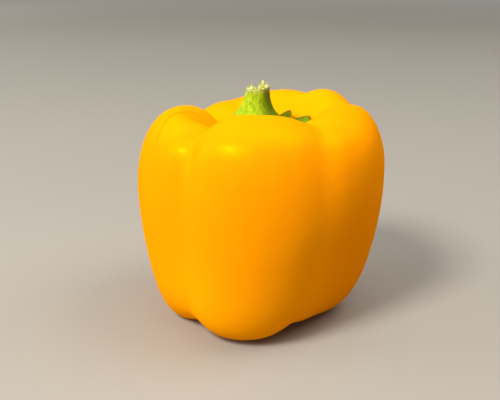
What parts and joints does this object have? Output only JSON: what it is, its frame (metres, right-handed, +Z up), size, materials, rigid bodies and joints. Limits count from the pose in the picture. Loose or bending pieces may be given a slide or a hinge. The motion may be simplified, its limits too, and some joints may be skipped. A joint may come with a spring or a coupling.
{
  "type": "bell pepper",
  "caption": "Whole yellow bell pepper with a lobed fruit, a hollow between its shoulders, a toothed calyx and a short torn stem, standing on its feet.",
  "frame": {"origin": "on the surface that the pepper stands on, below the middle of the whole pepper's box", "axes": "+Z up along the fruit and its stem, -Y out through the broad front lobe, +X to that lobe's right"},
  "size_m": [0.0922, 0.0938, 0.0898],
  "materials": {
    "skin": "smooth waxy yellow-orange skin",
    "calyx": "dull green, brownish at the rim",
    "stem": "ribbed pale green, cream at the torn end"
  },
  "bodies": {
    "root": {"fruit": "skin", "calyx": "calyx", "stem": "stem"}
  },
  "joints": []
}
